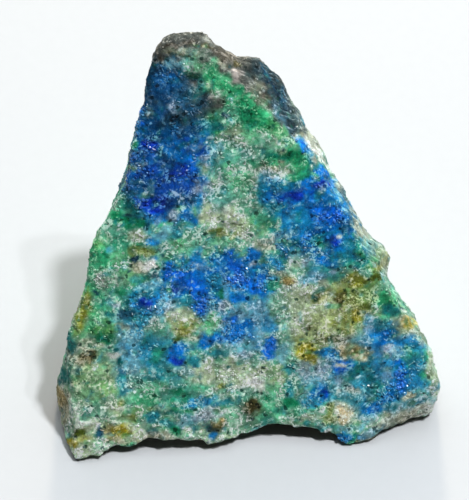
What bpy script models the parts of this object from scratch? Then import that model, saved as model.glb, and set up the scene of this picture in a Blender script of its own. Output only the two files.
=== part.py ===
"""Azurite with malachite: one rough, wedge-shaped piece of ore that stands on its broken underside.

Metres, +Z up. The broad, colourful face looks towards -Y and leans back, +X is to the right, and the origin
is on the surface it stands on, under the middle of the stone.

The stone is worked the way a carver would: a block with the stone's outline is broken flat along the main
breaks, hollowed underneath, rounded, pushed in and out by hand, roughened, and trimmed where it stands.
"""

import math

import bmesh
import bpy
from mathutils import Matrix, Vector, noise

MM = 0.001
STONE = "azurite_malachite_stone"
STONE_COLOUR = (0.11, 0.27, 0.27, 1.0)

# The outline is drawn on a plane that leans back with the stone: its upright axis is tilted OUTLINE_LEAN_DEG
# from the vertical, and its origin is OUTLINE_CENTRE. Points are (across, up that plane), in millimetres.
OUTLINE_LEAN_DEG = 50.0
OUTLINE_CENTRE = (0.0, 2.4, 15.4)
BLOCK_DEPTH = 120.0

LEFT_EDGE = [
    (-20.5, -25.6), (-22.4, -21.2), (-23.2, -17.6), (-23.0, -15.9), (-18.1, 0.4), (-14.2, 7.8),
    (-13.5, 10.0), (-12.8, 15.1), (-12.0, 17.8), (-12.1, 19.5), (-11.5, 20.8),
]
CREST = [
    (-10.6, 22.0), (-9.5, 24.8), (-8.6, 25.2), (-7.4, 24.8), (-5.4, 25.3), (-3.7, 24.1), (-0.7, 22.6),
    (1.6, 22.6), (3.2, 21.3), (4.2, 19.0),
]
RIGHT_EDGE = [
    (4.9, 17.7), (8.8, 12.3), (11.3, 6.8), (13.7, 2.5), (16.4, -0.6), (16.9, -1.9), (16.8, -3.1),
    (19.9, -7.9), (22.0, -12.8), (22.9, -16.4), (22.7, -17.9),
]
LOWER_EDGE = [
    (22.3, -19.5), (21.6, -23.0), (14.0, -26.0), (11.8, -24.6), (9.2, -22.1), (7.9, -21.4), (4.7, -21.2),
    (1.7, -21.7), (0.7, -22.3), (-3.6, -23.0), (-8.4, -22.5), (-10.8, -23.3), (-15.6, -23.4),
    (-18.8, -25.4),
]

# Flat breaks: (a point on it in mm, compass bearing of the way it faces, its upward tilt), both in degrees.
# A bearing of 0 faces the front, 90 the right, 180 the back and -90 the left.
BREAKS = {
    "broad_face": ((-20.6, -17.2, 0.0), 4.0, 36.5),
    "upper_left_face": ((-7.7, 5.5, 29.4), -7.5, 41.0),
    "left_foot_face": ((-20.7, -14.7, 3.55), -65.0, 16.3),
    "slate_shoulder": ((4.9, 6.9, 30.1), 76.4, 49.9),
    "right_flank": ((13.65, -0.15, 19.7), 98.6, 30.5),
    "right_toe": ((12.8, -15.3, 0.0), 26.0, 2.0),
    "crest_cap": ((-6.2, 11.3, 37.2), 24.0, 68.0),
    "back": ((0.0, 16.4, 20.0), 178.0, 1.5),
    "back_left": ((-15.0, 15.0, 10.0), -146.0, 8.0),
    "back_right": ((15.5, 13.5, 8.0), 142.0, 14.0),
    "left_flank_rear": ((-19.0, 3.0, 12.0), -112.0, 4.0),
    "right_flank_rear": ((20.0, 0.5, 8.0), 108.0, 20.0),
    "underside": ((0.0, 0.0, 0.0), 0.0, -90.0),
}

# Hollows broken out of the underside: (centre, half-sizes), in mm.
UNDER_HOLLOWS = {
    "front_arch": ((3.8, -12.6, -1.1), (9.0, 8.5, 3.0)),
    "left_arch": ((-9.0, -12.6, -1.0), (9.0, 7.5, 2.3)),
    "rear_hollow": ((1.0, 5.0, -1.8), (13.0, 8.5, 3.0)),
}

# Places pushed out (+) or in (-): (centre in mm, radius in mm, push in mm).
PUSHES = {
    "left_foot": ((-19.8, -15.6, 0.2), 4.2, 0.6),
    "right_foot": ((13.8, -13.4, 0.0), 4.5, 0.35),
    "flank_knob": ((16.6, 2.4, 13.8), 3.6, 0.7),
    "flank_dip": ((14.6, 3.6, 20.0), 5.0, -0.5),
    "crest_knob_left": ((-8.6, 14.0, 38.2), 3.4, 0.9),
    "crest_knob_right": ((1.2, 14.6, 35.2), 2.8, 0.4),
    "crest_saddle": ((-1.6, 13.2, 36.4), 2.2, -0.3),
    "crest_middle": ((-4.6, 13.6, 38.0), 2.8, 0.6),
    "face_swell_left": ((-11.0, -6.0, 13.0), 9.0, 0.5),
    "face_swell_right": ((12.0, -7.5, 11.0), 8.0, 0.4),
    "face_dip_middle": ((1.0, -5.0, 15.5), 6.0, -0.35),
    "face_dip_low": ((3.5, -12.5, 5.5), 6.5, -0.3),
    "face_swell_high": ((3.0, 4.5, 28.5), 5.5, 0.35),
    "left_flank_scoop": ((-17.5, 5.0, 13.0), 8.0, -1.1),
    "left_flank_swell": ((-16.0, 9.5, 21.0), 6.0, 0.7),
    "right_flank_scoop": ((19.0, 5.0, 9.0), 7.0, -0.9),
    "back_scoop_high": ((-3.5, 16.0, 28.0), 8.5, -2.0),
    "back_scoop_low": ((8.0, 16.0, 10.0), 9.0, -1.6),
    "back_swell": ((-6.0, 16.5, 11.0), 8.0, 1.0),
}

CARVE_VOXEL = 0.45
ROUNDING_PASSES = 2
WEAR_ALLOWANCE = 0.15  # what rounding takes off, given back all over
TRIANGLES = 9200
TRIM_HEIGHT = 0.3  # how much of the lowest grains is worn off flat where the stone stands


def in_metres(point):
    return Vector(point) * MM


def facing(bearing_deg, tilt_deg):
    """The direction with this compass bearing and upward tilt."""
    bearing, tilt = math.radians(bearing_deg), math.radians(tilt_deg)
    return Vector(
        (math.sin(bearing) * math.cos(tilt), -math.cos(bearing) * math.cos(tilt), math.sin(tilt))
    )


def clear_scene():
    for obj in list(bpy.data.objects):
        bpy.data.objects.remove(obj, do_unlink=True)


def new_collection(name):
    collection = bpy.data.collections.new(name)
    bpy.context.scene.collection.children.link(collection)
    return collection


def evaluated_copy(obj):
    """The object's mesh with its modifiers applied."""
    bpy.context.view_layer.update()
    graph = bpy.context.evaluated_depsgraph_get()
    return bpy.data.meshes.new_from_object(obj.evaluated_get(graph))


def apply_modifiers(obj):
    mesh = evaluated_copy(obj)
    obj.modifiers.clear()
    obj.data = mesh
    return obj


def outline_block(collection):
    """A block with the stone's outline, drawn out square to the leaning plane of the outline."""
    curve = bpy.data.curves.new("outline", "CURVE")
    curve.dimensions = "2D"
    curve.fill_mode = "BOTH"
    curve.extrude = BLOCK_DEPTH / 2 * MM
    corners = LEFT_EDGE + CREST + RIGHT_EDGE + LOWER_EDGE
    spline = curve.splines.new("POLY")
    spline.points.add(len(corners) - 1)
    for point, (across, up) in zip(spline.points, corners):
        point.co = (across * MM, up * MM, 0.0, 1.0)
    spline.use_cyclic_u = True

    drawn = bpy.data.objects.new("outline", curve)
    collection.objects.link(drawn)
    lean = Matrix.Rotation(math.radians(90.0 - OUTLINE_LEAN_DEG), 4, "X")
    place = Matrix.Translation(in_metres(OUTLINE_CENTRE)) @ lean
    mesh = evaluated_copy(drawn)
    bpy.data.objects.remove(drawn)

    block = bpy.data.objects.new(STONE, mesh)
    mesh.transform(place)
    collection.objects.link(block)
    shape = bmesh.new()
    shape.from_mesh(mesh)
    bmesh.ops.remove_doubles(shape, verts=shape.verts, dist=0.01 * MM)
    bmesh.ops.recalc_face_normals(shape, faces=shape.faces)
    shape.to_mesh(mesh)
    shape.free()
    return block


def break_flat(stone, point, outward):
    """Breaks off all that lies beyond a plane and closes the break."""
    shape = bmesh.new()
    shape.from_mesh(stone.data)
    bmesh.ops.bisect_plane(
        shape,
        geom=shape.verts[:] + shape.edges[:] + shape.faces[:],
        dist=0.001 * MM,
        plane_co=in_metres(point),
        plane_no=outward,
        clear_outer=True,
    )
    open_edges = [edge for edge in shape.edges if edge.is_boundary]
    bmesh.ops.holes_fill(shape, edges=open_edges, sides=0)
    bmesh.ops.recalc_face_normals(shape, faces=shape.faces)
    shape.to_mesh(stone.data)
    shape.free()


def cutter_object(name, mesh, collection):
    cutter = bpy.data.objects.new(name, mesh)
    cutter.hide_render = True
    cutter.display_type = "WIRE"
    collection.objects.link(cutter)
    return cutter


def take_away(stone, cutter):
    """Cuts the cutter's shape out of the stone."""
    cut = stone.modifiers.new(cutter.name, "BOOLEAN")
    cut.operation = "DIFFERENCE"
    cut.solver = "EXACT"
    cut.object = cutter
    apply_modifiers(stone)
    bpy.data.objects.remove(cutter)


def hollow_underside(stone, cutters):
    for name, (centre, half_sizes) in UNDER_HOLLOWS.items():
        shape = bmesh.new()
        bmesh.ops.create_uvsphere(shape, u_segments=32, v_segments=16, radius=1.0)
        size = Matrix.Diagonal((*in_metres(half_sizes), 1.0))
        bmesh.ops.transform(shape, matrix=Matrix.Translation(in_metres(centre)) @ size, verts=shape.verts)
        mesh = bpy.data.meshes.new(name)
        shape.to_mesh(mesh)
        shape.free()
        take_away(stone, cutter_object(name, mesh, cutters))


def round_over(stone):
    """An even skin of small faces, with the breaks' edges slightly worn."""
    skin = stone.modifiers.new("even skin", "REMESH")
    skin.mode = "VOXEL"
    skin.voxel_size = CARVE_VOXEL * MM
    worn = stone.modifiers.new("worn edges", "SMOOTH")
    worn.factor = 0.5
    worn.iterations = ROUNDING_PASSES
    apply_modifiers(stone)


def push_at(point):
    """How far, in mm, the named pushes move the surface at a point given in mm."""
    total = 0.0
    for centre, radius, push in PUSHES.values():
        share = 1.0 - (point - Vector(centre)).length / radius
        if share > 0.0:
            total += push * share * share * (3.0 - 2.0 * share)
    return total


def roughness_at(point, calm):
    """Uneven breakage at a point in mm: broad swells, chunky lumps with sharp creases, and small grains."""
    swells = noise.noise(point / 9.0)
    chunks = noise.ridged_multi_fractal(point / 5.5, 1.0, 2.1, 3, 1.0, 2.0) - 1.1
    near, next_near = noise.voronoi(point / 2.6)[0][:2]
    lumps = min(next_near - near, 0.5) - 0.25
    grains = noise.fractal(point / 1.3, 1.0, 2.0, 2)
    return calm * (0.55 * swells + 0.38 * chunks + 0.30 * lumps) + 0.14 * grains


def ledges_at(point, normal):
    """Thin ledges of layered rock, which show where a break runs across the layers."""
    layer_up = facing(-70.0, 38.0)
    layer_thickness = 1.7
    level = (point.dot(layer_up) + 0.9 * noise.noise(point / 6.0)) / layer_thickness
    step = level - math.floor(level)
    edge = min(1.0, 4.0 * (1.0 - step))
    return 0.34 * (step * edge - 0.4) * (1.0 - abs(normal.dot(layer_up)))


def roughen(stone):
    """Moves every point of the skin along its normal. The broad face is calmer than the other breaks."""
    _, bearing, tilt = BREAKS["broad_face"]
    face_way = facing(bearing, tilt)
    shape = bmesh.new()
    shape.from_mesh(stone.data)
    shape.normal_update()
    moves = []
    for vertex in shape.verts:
        point = vertex.co / MM
        on_face = max(0.0, (vertex.normal.dot(face_way) - 0.55) / 0.45)
        calm = 1.0 - 0.62 * on_face
        depth = WEAR_ALLOWANCE + push_at(point) + roughness_at(point, calm)
        depth += (1.0 - on_face) * ledges_at(point, vertex.normal)
        moves.append(vertex.normal * depth * MM)
    for vertex, move in zip(shape.verts, moves):
        vertex.co += move
    shape.to_mesh(stone.data)
    shape.free()


def thin_out(stone):
    """Fewer, larger faces, which keep the shape and look like breaks."""
    fewer = stone.modifiers.new("fewer faces", "DECIMATE")
    fewer.ratio = min(1.0, TRIANGLES / (2.0 * len(stone.data.polygons)))
    apply_modifiers(stone)


def trim_where_it_stands(stone, cutters):
    """Wears the lowest grains flat, and sets the stone on z = 0 with its middle over the origin."""
    lowest = min(vertex.co.z for vertex in stone.data.vertices)
    cut_height = lowest + TRIM_HEIGHT * MM
    shape = bmesh.new()
    bmesh.ops.create_cube(shape, size=BLOCK_DEPTH * MM)
    below = Matrix.Translation((0.0, 0.0, cut_height - BLOCK_DEPTH / 2 * MM))
    bmesh.ops.transform(shape, matrix=below, verts=shape.verts)
    mesh = bpy.data.meshes.new("worn_off")
    shape.to_mesh(mesh)
    shape.free()
    take_away(stone, cutter_object("worn_off", mesh, cutters))

    across = [vertex.co.x for vertex in stone.data.vertices]
    deep = [vertex.co.y for vertex in stone.data.vertices]
    middle = Vector(((min(across) + max(across)) / 2, (min(deep) + max(deep)) / 2, cut_height))
    stone.data.transform(Matrix.Translation(-middle))


def stone_material():
    material = bpy.data.materials.new("azurite and malachite ore")
    material.use_nodes = True
    surface = material.node_tree.nodes["Principled BSDF"]
    surface.inputs["Base Color"].default_value = STONE_COLOUR
    surface.inputs["Roughness"].default_value = 0.62
    surface.inputs["Metallic"].default_value = 0.0
    material.diffuse_color = STONE_COLOUR
    return material


def main():
    clear_scene()
    specimen = new_collection("azurite_with_malachite")
    cutters = new_collection("cutters")
    stone = outline_block(specimen)
    for point, bearing, tilt in BREAKS.values():
        break_flat(stone, point, facing(bearing, tilt))
    hollow_underside(stone, cutters)
    round_over(stone)
    roughen(stone)
    thin_out(stone)
    trim_where_it_stands(stone, cutters)
    stone.data.materials.clear()
    stone.data.materials.append(stone_material())
    stone.data.shade_smooth()
    stone.data.set_sharp_from_angle(angle=math.radians(35.0))


main()
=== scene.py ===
"""Azurite with malachite: a rough wedge of copper ore, its sugary crust and its loose-grown grains.

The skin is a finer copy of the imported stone. Each place on it has a mineral of its own, and thousands
of small crystals grow on it: azurite blocks, malachite grains, pale quartz needles and rusty grains.
"""

import math
from itertools import product

import bpy
import numpy as np
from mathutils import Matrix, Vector


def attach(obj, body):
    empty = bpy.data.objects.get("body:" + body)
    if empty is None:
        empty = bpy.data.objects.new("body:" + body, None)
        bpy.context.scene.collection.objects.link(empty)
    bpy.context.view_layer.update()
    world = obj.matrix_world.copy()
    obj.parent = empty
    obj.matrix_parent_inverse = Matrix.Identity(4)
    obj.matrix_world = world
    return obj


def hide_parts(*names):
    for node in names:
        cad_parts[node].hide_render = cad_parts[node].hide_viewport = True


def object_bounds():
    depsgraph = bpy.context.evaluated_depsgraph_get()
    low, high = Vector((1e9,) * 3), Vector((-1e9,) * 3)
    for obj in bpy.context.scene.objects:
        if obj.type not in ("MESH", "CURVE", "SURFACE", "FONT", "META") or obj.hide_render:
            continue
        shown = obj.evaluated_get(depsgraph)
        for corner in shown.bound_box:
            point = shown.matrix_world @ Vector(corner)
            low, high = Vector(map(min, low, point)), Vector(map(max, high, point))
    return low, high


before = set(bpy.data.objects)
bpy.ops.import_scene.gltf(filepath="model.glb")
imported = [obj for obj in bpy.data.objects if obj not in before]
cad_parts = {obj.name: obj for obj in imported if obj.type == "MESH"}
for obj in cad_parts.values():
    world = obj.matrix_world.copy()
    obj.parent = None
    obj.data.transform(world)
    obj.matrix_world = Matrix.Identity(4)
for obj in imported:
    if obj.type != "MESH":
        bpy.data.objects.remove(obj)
CAD_BOX = [list(corner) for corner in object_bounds()]

MM = 0.001
STONE_NODE = "azurite_malachite_stone"
BODY = "root"

# How the stone is looked at: from in front and above, from 250 mm away.
LOOK_DOWN = math.radians(50)
LOOKED_AT = Vector((-1.465, 1.982, 15.855)) * MM
LOOK_FROM = 250 * MM
LENS_MM = 150
SENSOR_MM = 36

# The skin: its mesh size, how often it is smoothed, the height in mm where its relief is full, how near two
# points of the solid are one, and how sharp an edge stays sharp.
SKIN_GRID = 0.27 * MM
SKIN_SMOOTHING = 3
FOOT_FADE = 0.5
SAME_POINT = 0.002 * MM
CREASE = math.radians(28)

# The relief, in mm: the size and height of broken chips and of sugar-sized grains, and how far it is sunk.
CHIP = 0.85
CHIP_HEIGHT = 0.15
SUGAR = 0.46
SUGAR_HEIGHT = 0.07
SINK = 0.05

# How steep the facets of chips and grains are, and how far they step up and down, in shares of their height.
FACET_TILT = 1.4
FACET_LEVEL = 0.55

# The direction in which the slaty rock splits, and how far its streaks are drawn out along it.
FIBRES = (0.62, 0.18, -0.76)
STREAK_DRAW = 0.82

# The lip over the arch, in mm: (middle, half width, drop), and where the drop fades out.
LIP = ((0.3, 2.3, 1.1), (5.6, 2.4, 0.45))
LIP_FADES_ABOVE = 7.5
LIP_FULL_BELOW = 3.4
LIP_FADES_BEHIND = -11.0
LIP_FRONT = -14.5


# ------------------------------------------------------------------ small helpers


def linear(red, green, blue):
    """A colour card value, 0 to 255, as the light it sends back."""
    parts = [c / 255 for c in (red, green, blue)]
    return tuple(c / 12.92 if c <= 0.04045 else ((c + 0.055) / 1.055) ** 2.4 for c in parts)


def select_only(thing):
    bpy.ops.object.select_all(action="DESELECT")
    thing.select_set(True)
    bpy.context.view_layer.objects.active = thing


def apply_modifiers(thing):
    select_only(thing)
    for modifier in list(thing.modifiers):
        bpy.ops.object.modifier_apply(modifier=modifier.name)


def new_piece(name, mesh):
    piece = bpy.data.objects.new(name, mesh)
    bpy.context.scene.collection.objects.link(piece)
    return piece


def read_points(mesh):
    points = np.zeros(len(mesh.vertices) * 3)
    mesh.vertices.foreach_get("co", points)
    return points.reshape(-1, 3)


def write_points(mesh, points):
    mesh.vertices.foreach_set("co", points.ravel())
    mesh.update()


def read_normals(mesh):
    normals = np.zeros(len(mesh.vertices) * 3)
    mesh.vertices.foreach_get("normal", normals)
    return normals.reshape(-1, 3)


def ramp(low, high, value):
    """0 below low, 1 above high, smooth between."""
    t = np.clip((value - low) / (high - low), 0, 1)
    return t * t * (3 - 2 * t)


# ------------------------------------------------------------------ the stone's own randomness


def lattice_random(ix, iy, iz, seed):
    """An even random number for each lattice point, the same on every run."""
    mask = np.uint64(0xFFFFFFFF)
    n = ix.astype(np.uint64) * np.uint64(374761393)
    n = n + iy.astype(np.uint64) * np.uint64(668265263)
    n = n + iz.astype(np.uint64) * np.uint64(2246822519)
    n = (n + np.uint64(seed * 97 + 13) * np.uint64(3266489917)) & mask
    n = ((n ^ (n >> np.uint64(15))) * np.uint64(2654435761)) & mask
    n = ((n ^ (n >> np.uint64(13))) * np.uint64(1274126177)) & mask
    n = n ^ (n >> np.uint64(16))
    return (n & np.uint64(0xFFFFFF)).astype(float) / 0xFFFFFF


def mottle(points, size, seed, octaves=1):
    """Soft blotches about size across, from -1 to 1."""
    total = np.zeros(len(points))
    weight = 1.0
    for octave in range(octaves):
        p = points / size * 2**octave
        cell = np.floor(p).astype(np.int64)
        f = p - cell
        f = f * f * (3 - 2 * f)
        value = np.zeros(len(points))
        for corner in product((0, 1), repeat=3):
            part = lattice_random(*(cell + corner).T, seed + 31 * octave)
            wx, wy, wz = (f[:, k] if corner[k] else 1 - f[:, k] for k in range(3))
            value += part * wx * wy * wz
        total += (value * 2 - 1) * weight
        weight *= 0.5
    return total


def broken_facets(points, size, seed):
    """Grains about size across, each one a small flat plane at a tilt and a level of its own."""
    p = points / size
    cell = np.floor(p).astype(np.int64)
    nearest = np.full(len(points), 9.0)
    height = np.zeros(len(points))
    for neighbour in product((-1, 0, 1), repeat=3):
        c = (cell + neighbour).T
        seat = np.stack([c[k] + lattice_random(*c, seed + k) for k in range(3)], 1)
        tilt = np.stack([lattice_random(*c, seed + 3 + k) - 0.5 for k in range(3)], 1)
        level = lattice_random(*c, seed + 6) - 0.5
        away = p - seat
        distance = (away * away).sum(1)
        closer = distance < nearest
        nearest = np.where(closer, distance, nearest)
        plane = (away * tilt).sum(1) * FACET_TILT + level * FACET_LEVEL
        height = np.where(closer, plane, height)
    return height


# ------------------------------------------------------------------ the minerals

# Each mixture: its own colour, the colour of the flecks in it, how much of it is flecks, and how much is
# dark pits, painted as shade in small holes.
MIXTURES = {
    "azurite": ((2, 112, 196), (122, 188, 236), 0.16, 0.05),
    "cobalt": ((4, 112, 232), (126, 182, 242), 0.14, 0.04),
    "ultramarine": ((6, 52, 178), (80, 136, 222), 0.11, 0.05),
    "navy": ((6, 64, 108), (80, 132, 174), 0.14, 0.10),
    "night": ((10, 50, 74), (60, 100, 120), 0.08, 0.15),
    "ink": ((40, 76, 90), (110, 128, 142), 0.18, 0.20),
    "sky": ((28, 138, 200), (140, 204, 234), 0.15, 0.05),
    "haze": ((116, 184, 204), (170, 212, 226), 0.22, 0.05),
    "blue_grey": ((100, 164, 190), (166, 196, 216), 0.22, 0.07),
    "teal": ((28, 132, 148), (120, 196, 198), 0.15, 0.08),
    "deep_teal": ((12, 98, 100), (84, 152, 146), 0.12, 0.12),
    "malachite": ((46, 170, 112), (140, 214, 166), 0.15, 0.08),
    "deep_green": ((8, 118, 76), (76, 170, 126), 0.11, 0.10),
    "dark_green": ((14, 66, 48), (70, 110, 84), 0.10, 0.20),
    "grass": ((92, 162, 84), (150, 200, 120), 0.14, 0.10),
    "mint": ((112, 200, 144), (206, 236, 212), 0.24, 0.06),
    "lime": ((158, 180, 122), (196, 216, 150), 0.18, 0.08),
    "sage": ((100, 172, 144), (190, 220, 200), 0.25, 0.11),
    "pale_green": ((128, 178, 146), (214, 230, 212), 0.30, 0.10),
    "cream": ((190, 208, 168), (232, 236, 216), 0.27, 0.08),
    "chalk": ((232, 238, 224), (248, 248, 242), 0.3, 0.03),
    "lilac": ((148, 166, 186), (192, 202, 226), 0.28, 0.07),
    "olive": ((130, 140, 62), (184, 188, 126), 0.18, 0.13),
    "moss": ((70, 86, 22), (124, 136, 64), 0.14, 0.18),
    "gold": ((160, 148, 24), (214, 206, 130), 0.22, 0.08),
    "ochre": ((164, 140, 76), (206, 176, 116), 0.22, 0.12),
    "apricot": ((228, 206, 160), (238, 226, 198), 0.28, 0.04),
    "tan": ((154, 156, 128), (200, 196, 174), 0.28, 0.10),
    "umber": ((60, 58, 28), (138, 128, 92), 0.18, 0.18),
    "crest_rock": ((84, 88, 82), (176, 174, 164), 0.14, 0.12),
    "crest_brown": ((80, 74, 62), (156, 148, 134), 0.20, 0.14),
    "slate": ((34, 56, 64), (132, 154, 164), 0.10, 0.12),
    "flank": ((158, 166, 146), (206, 214, 200), 0.30, 0.10),
    "rose": ((178, 168, 160), (208, 196, 188), 0.25, 0.03),
}

# The mixtures themselves are a little darker than their colours above, and their flecks are paler by this
# much, up to the palest there is.
BODY_LIGHT = 0.88
FLECK_LIGHT = 1.35
PALEST = 0.92

# Where two mixtures meet, the darker one stains the paler one: 1 would mix them as light does.
STAIN = 0.4

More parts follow.
